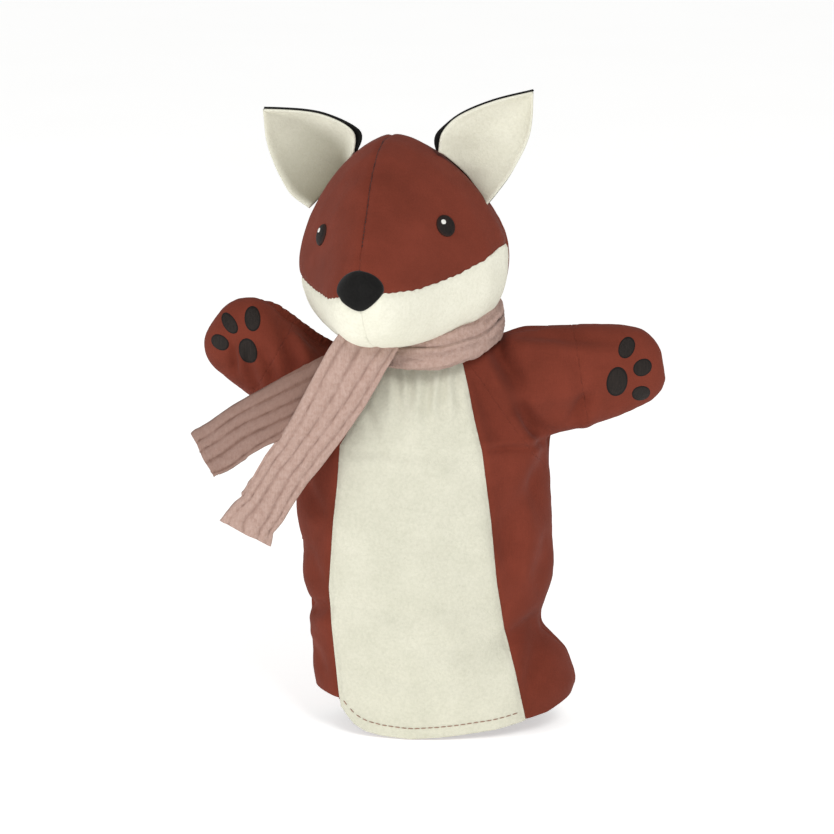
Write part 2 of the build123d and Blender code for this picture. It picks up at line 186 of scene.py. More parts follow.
# ---- the scarf -------------------------------------------------------------------------
PLEATS = 4.6            # long pleats across a tail
PLEAT_RISE = 1.25
TAIL_WALL = 1.4
LOOP_START, LOOP_TURN = -55, 355        # degrees
LOOP_PLEATS = 3.4       # times as many round the band as across a tail
LOOP_HALF = (4.4, 9.0)  # half thickness and half height of the band
LOOP_LEAN = 0.25        # how far it leans out with height
# middle of the loop round the neck: angle from the front, radius, height
LOOP_PATH = [(-60, 27, 174), (-20, 27, 171.5), (10, 27.5, 171.5), (40, 29, 174.5), (75, 30.5, 180),
             (110, 30.5, 184.5), (150, 30.5, 183), (200, 30, 178.5), (250, 30, 177), (300, 27, 174)]
FRONT_TAIL = [(-21, -36, 181, 22), (-29, -38.5, 172, 25), (-38.5, -37.5, 154, 25), (-50, -36, 136, 22.5),
              (-60.5, -34.5, 121.5, 21.5), (-70, -33.5, 105.5, 20.5), (-75.2, -33, 99, 21.5),
              (-78.4, -32.5, 93, 24.5)]
REAR_TAIL = [(-25, -31, 168, 14), (-38, -33, 161.5, 19), (-54, -32, 151.5, 22), (-74, -30, 140.5, 21),
             (-91, -29, 129.3, 20.5), (-96.3, -29, 126, 20)]


# ---- small helpers ---------------------------------------------------------------------
def linear(code):
    """An sRGB hex colour as a linear one."""
    parts = [int(code[i:i + 2], 16) / 255 for i in (1, 3, 5)]
    return [c / 12.92 if c <= 0.04045 else ((c + 0.055) / 1.055) ** 2.4 for c in parts] + [1.0]


def along(table, at):
    """Reads a table of pairs at a place between its rows."""
    if at <= table[0][0]:
        return table[0][1]
    for (a, first), (b, second) in zip(table, table[1:]):
        if at <= b:
            share = (at - a) / (b - a)
            return first + (second - first) * share
    return table[-1][1]


def smooth_step(low, high, value):
    """0 below low, 1 above high, and an easy curve between."""
    share = min(1.0, max(0.0, (value - low) / (high - low)))
    return share * share * (3 - 2 * share)


def spline(points, share):
    """A point on the smooth line through a list of points, share 0 to 1."""
    last = len(points) - 1
    place = min(max(share, 0.0), 1.0) * last
    number = min(int(place), last - 1)
    t = place - number
    at = [points[min(max(number + k, 0), last)] for k in (-1, 0, 1, 2)]
    return [0.5 * (2 * b + (c - a) * t + (2 * a - 5 * b + 4 * c - d) * t * t
                   + (3 * b - 3 * c + d - a) * t ** 3) for a, b, c, d in zip(*at)]


def arm_place(side):
    """From the arm's own frame, where it points along +X, to the glove's."""
    mirror = -1 if side == "left" else 1
    turn = Matrix.Rotation(radians(-mirror * ARM_UP[side]), 4, "Y")
    flip = Matrix.Diagonal((mirror, 1, 1, 1))
    return Matrix.Translation((SHOULDER_X[side], 0, SHOULDER_Z)) @ turn @ flip


def head_place():
    """From the head's own straight frame to where it looks aside and tilts."""
    turn = Matrix.Rotation(radians(HEAD_TURN), 4, "Z")
    tilt = Matrix.Rotation(radians(HEAD_TILT), 4, "Y")
    return Matrix.Translation(HEAD_CENTRE) @ tilt @ turn


def link(name, mesh):
    """A mesh as an object in the scene."""
    made = bpy.data.objects.new(name, mesh)
    bpy.context.scene.collection.objects.link(made)
    return made


def to_object(name, bm, material=None, smooth=True):
    """Turns a bmesh in millimetres into an object in metres."""
    bmesh.ops.scale(bm, vec=(MM, MM, MM), verts=bm.verts)
    mesh = bpy.data.meshes.new(name)
    bm.to_mesh(mesh)
    bm.free()
    for polygon in mesh.polygons:
        polygon.use_smooth = smooth
    if material:
        mesh.materials.append(material)
    return link(name, mesh)


def bake(made):
    """Applies an object's modifiers to its mesh."""
    graph = bpy.context.evaluated_depsgraph_get()
    mesh = bpy.data.meshes.new_from_object(made.evaluated_get(graph))
    made.modifiers.clear()
    old = made.data
    made.data = mesh
    bpy.data.meshes.remove(old)


def ring(bm, shape, place):
    """A circle of radius 1, reshaped point by point and then placed; returns its edges."""
    made = bmesh.ops.create_circle(bm, cap_ends=False, radius=1.0, segments=72)["verts"]
    for vert in made:
        vert.co = Vector(shape(vert.co.x, vert.co.y))
    bmesh.ops.transform(bm, matrix=place, verts=made)
    return list({edge for vert in made for edge in vert.link_edges})


def loft(bm, rings):
    """Bridges rings of edges and closes both ends."""
    for first, second in zip(rings, rings[1:]):
        bmesh.ops.bridge_loops(bm, edges=first + second)
    for end in (rings[0], rings[-1]):
        bmesh.ops.edgeloop_fill(bm, edges=end)


def remeshed(name, bm, grain):
    """A closed skin of even squares round a rough form, as a bmesh in millimetres."""
    made = to_object(name, bm)
    cut = made.modifiers.new("even", "REMESH")
    cut.mode = "VOXEL"
    cut.voxel_size = grain * MM
    bake(made)
    soft = made.modifiers.new("soft", "SMOOTH")
    soft.factor = 0.5
    soft.iterations = 6
    bake(made)
    fine = made.modifiers.new("fine", "SUBSURF")
    fine.levels = 1
    fine.render_levels = 1
    bake(made)
    result = bmesh.new()
    result.from_mesh(made.data)
    bpy.data.objects.remove(made)
    bmesh.ops.scale(result, vec=(1 / MM, 1 / MM, 1 / MM), verts=result.verts)
    return result


def cut_by(bm, field):
    """Cuts the mesh cleanly where a field passes through zero."""
    value = {vert: field(vert.co) for vert in bm.verts}
    crossing = [edge for edge in bm.edges if value[edge.verts[0]] * value[edge.verts[1]] < 0]
    new = []
    for edge in crossing:
        first, second = edge.verts
        share = value[first] / (value[first] - value[second])
        share = min(0.98, max(0.02, share))
        _, vert = bmesh.utils.edge_split(edge, first, share)
        value[vert] = 0.0
        new.append(vert)
    bmesh.ops.connect_verts(bm, verts=new)


def thicken(made, wall, offset=-1.0):
    """Gives an open piece a wall in millimetres: inward, or half each way at offset 0."""
    thick = made.modifiers.new("wall", "SOLIDIFY")
    thick.thickness = wall * MM
    thick.offset = offset
    bake(made)


def piece_where(source, name, keep, material, wall=CLOTH):
    """A copy of the faces whose middle passes the test, as a piece with a wall."""
    bm = source.copy()
    drop = [face for face in bm.faces if not keep(face.calc_center_median())]
    bmesh.ops.delete(bm, geom=drop, context="FACES")
    made = to_object(name, bm, material)
    thicken(made, wall)
    return made


def displace(bm, amount):
    """Moves each point along its normal by a function of its place."""
    bm.normal_update()
    moves = [(vert, vert.normal * amount(vert.co)) for vert in bm.verts]
    for vert, move in moves:
        vert.co += move


def ripple(point, size, seed):
    """Smooth noise, -1 to 1, with features about size millimetres across."""
    return noise.noise(Vector((point[0] / size[0] + seed, point[1] / size[1], point[2] / size[2])))


# ---- materials -------------------------------------------------------------------------
def node(tree, kind, inputs=None, **settings):
    """Adds a node with its settings; an input is a value or another node's output."""
    made = tree.nodes.new(kind)
    for key, value in settings.items():
        setattr(made, key, value)
    for key, value in (inputs or {}).items():
        if isinstance(value, bpy.types.NodeSocket):
            tree.links.new(value, made.inputs[key])
        else:
            made.inputs[key].default_value = value
    return made


def new_material(name):
    """An empty node material with its output."""
    material = bpy.data.materials.new(name)
    material.use_nodes = True
    tree = material.node_tree
    tree.nodes.clear()
    return material, tree


def mixed(tree, factor, first, second):
    """Two colours mixed; each is a colour or another node's output."""
    made = node(tree, "ShaderNodeMix", {0: factor, 6: first, 7: second},
                data_type="RGBA", blend_type="MIX")
    return made.outputs[2]


def relief(tree, height, strength, distance):
    """A height turned into small relief; the distance is in millimetres."""
    return node(tree, "ShaderNodeBump", {"Height": height, "Strength": strength,
                                         "Distance": distance * MM}).outputs[0]


def surface(tree, **inputs):
    """The shader and its output; an input's name has _ for each space."""
    named = {key.replace("_", " "): value for key, value in inputs.items()}
    shader = node(tree, "ShaderNodeBsdfPrincipled", named)
    node(tree, "ShaderNodeOutputMaterial", {"Surface": shader.outputs[0]})


def threads(tree, thread, stretch_axis):
    """Noise drawn out along one axis, as yarn is: thread is its width in millimetres."""
    scale = [1 / (thread * MM)] * 3
    scale["XYZ".index(stretch_axis)] /= 9.0
    place = node(tree, "ShaderNodeTexCoord").outputs["Object"]
    mapped = node(tree, "ShaderNodeMapping", {"Vector": place, "Scale": scale}).outputs[0]
    return node(tree, "ShaderNodeTexNoise",
                {"Vector": mapped, "Scale": 1.0, "Detail": 2.0, "Roughness": 0.6}).outputs[0]


def clouds(tree, size, detail=3.0):
    """Soft blotches about size millimetres across."""
    place = node(tree, "ShaderNodeTexCoord").outputs["Object"]
    return node(tree, "ShaderNodeTexNoise", {"Vector": place, "Scale": 1 / (size * MM),
                                            "Detail": detail, "Roughness": 0.55}).outputs[0]


def contrast(tree, value, low, high):
    """Stretches a value so that low to high becomes 0 to 1."""
    return node(tree, "ShaderNodeMapRange", {0: value, 1: low, 2: high, 3: 0.0, 4: 1.0}).outputs[0]


def woven(name, light, dark, thread, slub, bumps, sheen, roughness=0.92):
    """Plain-woven cloth: crossing yarns, uneven dye or bleach, and a soft nap."""
    material, tree = new_material(name)
    across = threads(tree, thread, "X")
    upright = threads(tree, thread, "Z")
    yarn = node(tree, "ShaderNodeMath", {0: across, 1: upright}, operation="ADD").outputs[0]
    yarn = contrast(tree, yarn, 0.72, 1.28)
    stain = contrast(tree, clouds(tree, 26.0), 0.35, 0.7)
    colour = mixed(tree, stain, linear(light), linear(dark))
    colour = mixed(tree, slub, colour, mixed(tree, yarn, linear(dark), linear(light)))
    surface(tree, Base_Color=colour, Roughness=roughness, Normal=relief(tree, yarn, bumps, 0.4),
            Specular_IOR_Level=0.18, Sheen_Weight=sheen, Sheen_Roughness=0.45)
    return material


def rust_cotton():
    """Dyed cotton twill, washed once: matt, with a faint nap that lifts its edges."""
    return woven("rust_cotton", "#7A3728", "#662C1E", 0.6, 0.22, 0.22, 0.03)


def cream_canvas(name, low, high, inside=None):
    """Brushed unbleached cotton: warm white, with a pebbled nap and faint grey-green low places.

    low and high are the colours of the low places and of the tops of its nap; inside is the colour of
    the painted shade that the hollow attribute lays down inside an ear.
    """
    material, tree = new_material(name)
    nap = clouds(tree, 1.3, 4.0)
    fuzz = clouds(tree, 0.6, 2.0)
    hollow = contrast(tree, nap, 0.3, 0.62)
    colour = mixed(tree, hollow, linear(low), linear(high))
    stain = contrast(tree, clouds(tree, 22.0), 0.35, 0.7)
    colour = mixed(tree, 0.5, colour, mixed(tree, stain, linear(low), linear(high)))
    # painted shade: the ear lining goes grey down inside the cup, by the hollow attribute
    if inside:
        pressed = node(tree, "ShaderNodeAttribute", attribute_name="hollow").outputs["Fac"]
        colour = mixed(tree, pressed, colour, linear(inside))
    height = node(tree, "ShaderNodeMath", {0: nap, 1: fuzz}, operation="ADD").outputs[0]
    surface(tree, Base_Color=colour, Roughness=0.95, Normal=relief(tree, height, 0.35, 0.6),
            Specular_IOR_Level=0.15, Sheen_Weight=0.05, Sheen_Roughness=0.5)
    return material


def black_felt():
    """Pressed wool felt: near black, no weave, and a soft bloom on its edges."""
    material, tree = new_material("black_felt")
    fuzz = clouds(tree, 1.2, 4.0)
    colour = mixed(tree, fuzz, linear("#0E0E0E"), linear("#1D1C1B"))
    surface(tree, Base_Color=colour, Roughness=0.95, Normal=relief(tree, fuzz, 0.35, 0.4),
            Specular_IOR_Level=0.12, Sheen_Weight=0.08)
    return material


def pink_muslin():
    """Crinkled double gauze: open threads over small puckers, with painted shade down in its pleats and
    over a tail that hangs in shadow.
    """
    material, tree = new_material("pink_muslin")
    yarn = contrast(tree, threads(tree, 0.6, "Z"), 0.3, 0.7)
    pucker = clouds(tree, 1.6, 3.0)
    height = node(tree, "ShaderNodeMath", {0: yarn, 1: pucker}, operation="ADD").outputs[0]
    colour = mixed(tree, contrast(tree, pucker, 0.3, 0.7), linear("#A98B7F"), linear("#BCA196"))
    colour = mixed(tree, 0.2, colour, mixed(tree, yarn, linear("#9C8075"), linear("#C6ADA2")))
    # painted shade: darker in the dips between pleats and over the rear tail that hangs in shadow
    muslin_painted_shade = node(tree, "ShaderNodeAttribute", attribute_name="muslin_painted_shade").outputs["Fac"]
    colour = mixed(tree, muslin_painted_shade, colour, linear("#7C5F54"))
    surface(tree, Base_Color=colour, Roughness=0.95, Normal=relief(tree, height, 0.4, 0.5),
            Specular_IOR_Level=0.15, Sheen_Weight=0.03)
    return material


def satin_thread(name, middle, border, edge_at):
    """Close rows of shiny thread, with a darker sewn border that follows the rim value."""
    material, tree = new_material(name)
    rim = node(tree, "ShaderNodeAttribute", attribute_name="rim").outputs["Fac"]
    rows = threads(tree, 0.7, "Z")
    rows = contrast(tree, rows, 0.35, 0.65)
    inner = mixed(tree, rows, linear(middle), linear(border))
    inner = mixed(tree, 0.55, inner, linear(middle))
    band = contrast(tree, rim, edge_at, edge_at + 0.08)
    colour = mixed(tree, band, inner, linear(border))
    surface(tree, Base_Color=colour, Roughness=0.6, Normal=relief(tree, rows, 0.5, 0.3),
            Specular_IOR_Level=0.2)
    return material


def plain_thread(name, colour):
    """Sewing thread: one colour with the twist of its ply."""
    material, tree = new_material(name)
    ply = clouds(tree, 0.8, 1.0)
    shade = mixed(tree, ply, linear(colour), [c * 0.7 for c in linear(colour)[:3]] + [1.0])
    surface(tree, Base_Color=shade, Roughness=0.6)
    return material


def grey_card():
    """Rolled grey board: flecked and dull."""
    return woven("grey_card", "#8A857B", "#757067", 1.5, 0.3, 0.1, 0.0, roughness=0.85)


def floor_paper():
    """A white acrylic light table: matt, and lit a little from below."""
    material, tree = new_material("floor_acrylic")
    shade = mixed(tree, clouds(tree, 300.0), linear("#FBFBFA"), linear("#F6F6F4"))
    surface(tree, Base_Color=shade, Roughness=0.9, Emission_Color=(1, 1, 1, 1),
            Emission_Strength=FLOOR_GLOW)
    return material


# ---- the glove -------------------------------------------------------------------------
def glove_skin():
    """One closed skin of body and arms, with folds pressed in."""
    bm = bmesh.new()
    rings = []
    for z, left, right, deep in GLOVE_RINGS:
        middle, half = (left + right) / 2, (right - left) / 2
        place = Matrix.Translation((middle, 0, z))
        rings.append(ring(bm, lambda u, v, h=half, d=deep: (u * h, v * d, 0), place))
    loft(bm, rings)
    for side, table in ARM_RINGS.items():
        rings = []
        for out, low, high, deep in table:
            middle, half = (low + high) / 2, (high - low) / 2
            place = arm_place(side) @ Matrix.Translation((out, 0, middle))
            rings.append(ring(bm, lambda u, v, h=half, d=deep: (0, u * d, v * h), place))
        loft(bm, rings)
    bmesh.ops.recalc_face_normals(bm, faces=bm.faces)
    skin = remeshed("glove_form", bm, SKIN_GRAIN)
    displace(skin, glove_relief)
    return skin


def fold_depth(point):
    """How far the pressed folds push the front in, at a place."""
    depth = 0.0
    for x0, z0, x1, z1, half, deep in FRONT_FOLDS:
        dx, dz = x1 - x0, z1 - z0
        length = sqrt(dx * dx + dz * dz)
        t = ((point.x - x0) * dx + (point.z - z0) * dz) / (length * length)
        if t < -0.2 or t > 1.2:
            continue
        side = ((point.x - x0) * dz - (point.z - z0) * dx) / length
        side += 1.2 * ripple(point, (14, 14, 14), x0)
        if abs(side) > 4 * half:
            continue
        fade = smooth_step(-0.2, 0.25, t) * (1 - smooth_step(0.55, 1.2, t))
        valley = exp(-(side / half) ** 2)
        ridge = 0.55 * exp(-((side - 1.9 * half) / (1.1 * half)) ** 2)
        depth += deep * fade * (ridge - valley)
    return depth


def seam_pinch(distance, point):
    """A sewn seam pulls the cloth in along a narrow line, with small puckers."""
    pucker = 0.18 * ripple(point, (3.0, 3.0, 3.0), 5.0) * exp(-(distance / 4.0) ** 2)
    return pucker - 0.75 * exp(-(distance / 1.3) ** 2)


def glove_relief(point):
    """Folds, slack and seams of the glove, as a height along the normal."""
    height = 1.0 * ripple(point, (34, 30, 60), 1.0) + 0.45 * ripple(point, (13, 13, 20), 2.0)
    height += 0.16 * ripple(point, (6, 6, 8), 3.0) + 0.32 * ripple(point, (38, 30, 8), 9.0)
    if point.y < 4:
        height += fold_depth(point)
    else:
        height += 0.8 * ripple(point, (16, 16, 42), 7.0)
    if point.y < 0:
        share = 1 - 0.6 * smooth_step(150, 165, point.z)
        for seam in (BELLY_LEFT, BELLY_RIGHT):
            height += seam_pinch(point.x - along(seam, point.z), point) * share
    height += 0.8 * seam_pinch(point.y * 1.1, point) * smooth_step(20, 34, abs(point.x + 3))
    return height


def arm_coordinate(side, point):
    """How far out along the arm a place is."""
    return (arm_place(side).inverted() @ point).x


def raglan_side(side, point):
    """Positive on the sleeve's side of the line where it starts to follow the arm."""
    (x0, z0), (x1, z1) = RAGLAN[side]
    return (point.x - x0) * (x1 - x0) + (point.z - z0) * (z1 - z0)


def make_glove(skin, paints):
    """Cuts the skin into its panels and returns them by name."""
    for side in ("left", "right"):
        cut_by(skin, lambda p, s=side: raglan_side(s, p))
    for side in ("left", "right"):
        cut_by(skin, lambda p, s=side: arm_coordinate(s, p) - CUFF[0])
    for seam in (BELLY_LEFT, BELLY_RIGHT):
        cut_by(skin, lambda p, t=seam: p.x - along(t, p.z) if p.y < 3 else 50.0)
    cut_by(skin, lambda p: p.y)

    def inside_belly(p):
        return p.y < 0 and along(BELLY_LEFT, p.z) < p.x < along(BELLY_RIGHT, p.z)

    def in_facing(p):
        hem = along(BELLY_HEM if inside_belly(p) else SIDE_HEM, p.x)
        return hem < p.z < hem + FACING_DEEP

    def region(p):
        for side in ("left", "right"):
            if raglan_side(side, p) > 0:
                if arm_coordinate(side, p) > CUFF[0]:
                    return side + "_paw"
                if not inside_belly(p):
                    return side + "_sleeve"
        if inside_belly(p):
            return "belly"
        if p.y > 0:
            return "back"
        return "left_side" if p.x < 0 else "right_side"

    made = {}
    for name in ("left_paw", "right_paw", "left_sleeve", "right_sleeve"):
        made[name] = piece_where(skin, name + "_cloth", lambda p, n=name: region(p) == n, paints["rust"])
    rest = {"belly": (BELLY_HEM, "belly"), "left_side": (SIDE_HEM, "rust"),
            "right_side": (SIDE_HEM, "rust"), "back": (SIDE_HEM, "rust")}
    for name, (hem, paint) in rest.items():
        part = skin.copy()
        cut_by(part, lambda p, t=hem: p.z - along(t, p.x))
        made[name] = piece_where(
            part, name + "_cloth",
            lambda p, n=name, t=hem: region(p) == n and p.z > along(t, p.x), paints[paint])
        part.free()
    facing = skin.copy()
    for hem, front in ((BELLY_HEM, True), (SIDE_HEM, False)):
        cut_by(facing, lambda p, t=hem, f=front: p.z - along(t, p.x) if f == inside_belly(p) else 9.0)
    facing.normal_update()
    for vert in facing.verts:
        vert.co -= vert.normal * FACING_IN
    made["facing"] = piece_where(facing, "hem_facing_cloth", in_facing, paints["rust"], FACING_WALL)
    facing.free()
    return made


def declare_glove(made):
    """Bodies of the glove's panels and the nodes they replace; the sleeves and paws are only baked in
    place.
    """
    facts = {
        "belly": (("belly_panel",), "cream_canvas"),
        "left_side": (("left_side_panel",), "rust_cotton"),
        "right_side": (("right_side_panel",), "rust_cotton"),
        "back": (("back_panel", "left_yoke", "right_yoke", "neck_ring"), "rust_cotton"),
        "facing": (("hem_facing",), "rust_cotton"),
    }
    for name, (nodes, slot) in facts.items():
        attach(made[name], "glove")
        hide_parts(*nodes)
    for side in ("left", "right"):
        sleeve, paw = made[side + "_sleeve"], made[side + "_paw"]
        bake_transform(sleeve)
        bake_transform(paw)
        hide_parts(side + "_sleeve")
        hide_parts(side + "_paw_front", side + "_paw_back")


# ---- patches sewn on a surface ---------------------------------------------------------
def surface_tree(*objects):
    """A tree to find the surface of some pieces, in millimetres."""
    verts, faces = [], []
    for made in objects:
        base = len(verts)
        verts.extend(v.co / MM for v in made.data.vertices)
        faces.extend([base + i for i in p.vertices] for p in made.data.polygons)
    return BVHTree.FromPolygons(verts, faces)


def patch(name, tree, centre, right, up, halves, rise, material, outline=None, count=28, smoothing=4):
    """A disc laid on a surface: centre and its two directions in millimetres.

    outline reshapes the unit disc; rise is its height at the middle.  The rim attribute
    runs from 0 at the middle to 1 at the edge.
    """
    toward = right.cross(up).normalized()
    bm = bmesh.new()
    bmesh.ops.create_grid(bm, x_segments=count, y_segments=count, size=1.0)
    rims = {}
    for vert in bm.verts:
        x, y = vert.co.x, vert.co.y
        u, v = x * sqrt(1 - y * y / 2), y * sqrt(1 - x * x / 2)
        rims[vert.index] = min(1.0, sqrt(u * u + v * v))
        if outline:
            u, v = outline(u, v)
        place = centre + right * (u * halves[0]) + up * (v * halves[1])
        hit, _, _, _ = tree.ray_cast(place + toward * 30, -toward)
        vert.co = hit or tree.find_nearest(place)[0]
    inner = [vert for vert in bm.verts if not vert.is_boundary]
    for _ in range(smoothing):
        bmesh.ops.smooth_vert(bm, verts=inner, factor=0.5,
                              use_axis_x=True, use_axis_y=True, use_axis_z=True)
    for vert in bm.verts:
        reach = rims[vert.index]
        edge = sqrt(max(0.0, 1 - reach ** 6))
        vert.co += toward * (rise * (0.55 * edge + 0.45 * sqrt(max(0.0, 1 - reach ** 2))) - 0.1)
    bm.verts.ensure_lookup_table()
    made = to_object(name, bm, material)
    note(made, "rim", [rims[index] for index in sorted(rims)])
    thicken(made, PATCH_WALL)
    return made


def make_pads(paws, material):
    """One large pad and three toe pads on the front of each paw."""
    for side, rows in PADS.items():
        tree = surface_tree(paws[side])
        for name, x, z, wide, tall, lean in rows:
            turn = Matrix.Rotation(radians(lean), 3, "Y")
            made = patch(f"{side}_{name}_stitched", tree, Vector((x, -13, z)), turn @ Vector((1, 0, 0)),
                         turn @ Vector((0, 0, 1)), (wide, tall), PAD_RISE, material)
            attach(made, side + "_paw")
            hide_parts(f"{side}_{name}")


# ---- the head --------------------------------------------------------------------------
def head_ring_shape(top, bottom, level, half):
    """A ring of the head: round above its widest level, fuller below."""
    def shape(u, v):
        power = CROWN if v > 0 else JOWL
        reach = top - level if v > 0 else level - bottom
        x = abs(u) ** (2 / power) * (1 if u > 0 else -1)
        z = abs(v) ** (2 / power)
        return x * half, 0, level + (z * reach if v > 0 else -z * reach)
    return shape


def head_skin():
    """The stuffed head as one closed skin, in its own straight frame."""
    bm = bmesh.new()
    rings = []
    for y, top, bottom, level, half in HEAD_RINGS:
        shape = head_ring_shape(top, bottom, level, half)
        rings.append(ring(bm, shape, Matrix.Translation((0, y, 0))))
    loft(bm, rings)
    bmesh.ops.recalc_face_normals(bm, faces=bm.faces)
    return remeshed("head_form", bm, HEAD_GRAIN)


def seam_height(point):
    """Height above the seam between rust and cream."""
    bite = 0.16 * sin(point.x * 2.6) + 0.25 * ripple(point, (1.7, 60, 60), 4.0)
    return point.z - along(FACE_SEAM, point.x) - bite


def head_relief(point):
    """Seams and the small unevenness of a stuffed head."""
    height = 0.5 * ripple(point, (26, 26, 26), 11.0) + 0.14 * ripple(point, (8, 8, 8), 12.0)
    if point.y < HEAD_BACK_Y:
        height += seam_pinch(seam_height(point), point)
        width = 1.0 if point.z > -12 else 0.6
        height += width * seam_pinch(point.x, point)
        for side in (-1, 1):
            across = (point.x - side * (17 + 0.35 * (44 - point.z)))
            height += 0.7 * seam_pinch(across, point) * smooth_step(34, 41, point.z)
    height += 0.7 * seam_pinch(point.y - HEAD_BACK_Y, point)
    return height


def make_head(paints):
    """Cuts the head's skin into panels; returns them by name."""
    skin = head_skin()
    displace(skin, head_relief)
    cut_by(skin, lambda p: p.y - HEAD_BACK_Y)
    cut_by(skin, lambda p: p.x)
    cut_by(skin, seam_height)

    def region(p):
        if p.y > HEAD_BACK_Y:
            return "head_back"
        side = "left" if p.x < 0 else "right"
        return ("head_face_" if seam_height(p) > 0 else "muzzle_") + side

    made = {}
    names = {"head_face_left": "rust", "head_face_right": "rust", "muzzle_left": "cream",
             "muzzle_right": "cream", "head_back": "rust"}
    place = head_place()
    for name, paint in names.items():
        part = skin.copy()
        drop = [face for face in part.faces if region(face.calc_center_median()) != name]
        bmesh.ops.delete(part, geom=drop, context="FACES")
        bmesh.ops.transform(part, matrix=place, verts=part.verts)
        for vert in part.verts:
            away = vert.co - Vector(NECK)
            if away.length < NECK_HOLLOW:
                vert.co = Vector(NECK) + away.normalized() * NECK_HOLLOW
        made[name] = to_object(name + "_cloth", part, paints[paint])
    skin.free()
    for name, piece in made.items():
        thicken(piece, CLOTH)
        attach(piece, "head")
        nodes = [name] + (["head_stuffing", "head_base"] if name == "head_back" else [])
        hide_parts(*nodes)
    return made


def make_face(panels, paints):
    """Nose, eyes and their glints."""
    tree = surface_tree(*panels.values())
    place = head_place()
    turn = place.to_3x3()

    def nose_outline(u, v):
        """Broad at the top, drawn to a blunt point at the bottom."""
        taper = 1.0 - 0.16 * v * v if v > 0 else 1.0 - 0.45 * (-v) ** 1.5
        return u * taper, v

    x, z, wide, tall = NOSE
    nose = patch("nose_felt", tree, place @ Vector((x, -58, z)), turn @ Vector((1, 0, 0)),
                 turn @ Vector((0, 0, 1)), (wide, tall), NOSE_RISE, paints["felt"], nose_outline, 44, 40)
    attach(nose, "head")
    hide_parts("nose")
    for side, spot in EYES.items():
        out_from = turn @ Vector((spot[0], spot[1], 0)).normalized()
        near, normal, _, _ = tree.ray_cast(place @ Vector(spot) + out_from * 40, -out_from)
        up = turn @ Vector((0, 0, 1))
        across = up.cross(normal).normalized()
        up = normal.cross(across).normalized()
        eye = patch(f"{side}_eye_stitched", tree, near, across, up, EYE_HALF, EYE_RISE,
                    paints["eye"], None, 30)
        glint_at = near + across * GLINT_AT[0] + up * GLINT_AT[1]
        glint = patch(f"{side}_glint_stitched", surface_tree(eye), glint_at, across, up,
                      GLINT_HALF, GLINT_RISE, paints["glint"], None, 10)
        for made, replaced, slot in ((eye, "eye", "dark_thread"), (glint, "eye_glint", "white_thread")):
            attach(made, "head")
            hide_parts(f"{side}_{replaced}")


def ear_leaf(side, behind, wide=30, tall=34):
    """A cupped leaf between the ear's two outlines, with the painted shade that each point of its lining
    takes.

    The leaf behind stands out along the top and is tucked in at the base.
    """
    inner, outer = EARS[side]
    mirror = -1 if side == "left" else 1
    lining_painted_shades = []
    bm = bmesh.new()
    bmesh.ops.create_grid(bm, x_segments=wide, y_segments=tall, size=0.5)
    for vert in bm.verts:
        s, t = vert.co.x + 0.5, 1 - (0.5 - vert.co.y) ** 1.15
        a, b = spline(inner, t), spline(outer, t)
        span = sqrt((b[0] - a[0]) ** 2 + (b[1] - a[1]) ** 2)
        x, z = a[0] + (b[0] - a[0]) * s, a[1] + (b[1] - a[1]) * s
        cup = sin(pi * s) ** 0.8 * min(1.0, span / 24) * (1 - 0.45 * t)
        rim = exp(-(min(min(s, 1 - s) * span, (1 - t) * 42) / 1.5) ** 2)
        slack = 0.9 * noise.noise(Vector((x / 13, z / 8, 20.0 + mirror)))
        y = EAR_CUP * cup + EAR_SPLAY * abs(x - inner[0][0]) + slack - 0.6 * rim
        if behind:
            lip = exp(-((s * span) / 5.0) ** 2)
            far = smooth_step(0.4, 1.0, s)
            x -= mirror * lip * (2.3 * exp(-((t - 0.16) / 0.16) ** 2) + 0.4 * (1 - t))
            tuck = 4.0 * far * (1 - t) ** 2 if side == "left" else 0.0
            inward = 1.4 * far * (t if side == "left" else 1.0)
            z += 0.8 * lip - 1.2 * (1 - lip) + 0.75 * tuck
            x += mirror * (0.65 * tuck - inward)
            y += 1.3 + 1.6 * far
        vert.co = (x, y, z)
        # painted shade: greyer away from the rim and toward the base of the cup, much more on the left
        # ear
        low_down = (0.28 + 0.72 * (1 - t) ** 1.3) * smooth_step(0.0, 0.35, s)
        lining_painted_shades.append(EAR_PAINTED_SHADE[side] * (1 - rim) * low_down)
    if mirror > 0:
        bmesh.ops.reverse_faces(bm, faces=bm.faces)
    return bm, lining_painted_shades


def make_ears(paints):
    """Cream leaf in front and black felt leaf behind, on each side."""
    place = head_place()
    for side in ("left", "right"):
        for layer, paint, slot in (("front", "lining", "cream_canvas"), ("back", "felt", "black_felt")):
            bm, lining_painted_shades = ear_leaf(side, layer == "back")
            bmesh.ops.transform(bm, matrix=place, verts=bm.verts)
            made = to_object(f"{side}_ear_{layer}_cloth", bm, paints[paint])
            # the hollow attribute carries the lining's painted shade
            note(made, "hollow", lining_painted_shades)
            thicken(made, EAR_WALL, 0.0)
            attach(made, side + "_ear")
            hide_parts(f"{side}_ear_{layer}")


# ---- the scarf -------------------------------------------------------------------------
def pleats(across, length, seed):
    """Height of the long pleats and small crinkles of muslin: across 0 to 1."""
    drift = 0.12 * noise.noise(Vector((length / 45, seed, across * 2)))
    drift += 0.02 * noise.noise(Vector((length / 9, seed, 5.0)))
    rib = abs(sin(pi * (across + drift) * PLEATS)) ** 0.5
    deep = 1.0 + 0.5 * noise.noise(Vector((int((across + drift) * PLEATS), length / 30, seed)))
    crinkle = noise.noise(Vector((across * 12 + seed, length / 2.6, seed)))
    fine = noise.noise(Vector((across * 30, length / 1.3, seed + 4)))
    return PLEAT_RISE * rib * deep + 0.24 * crinkle + 0.16 * fine


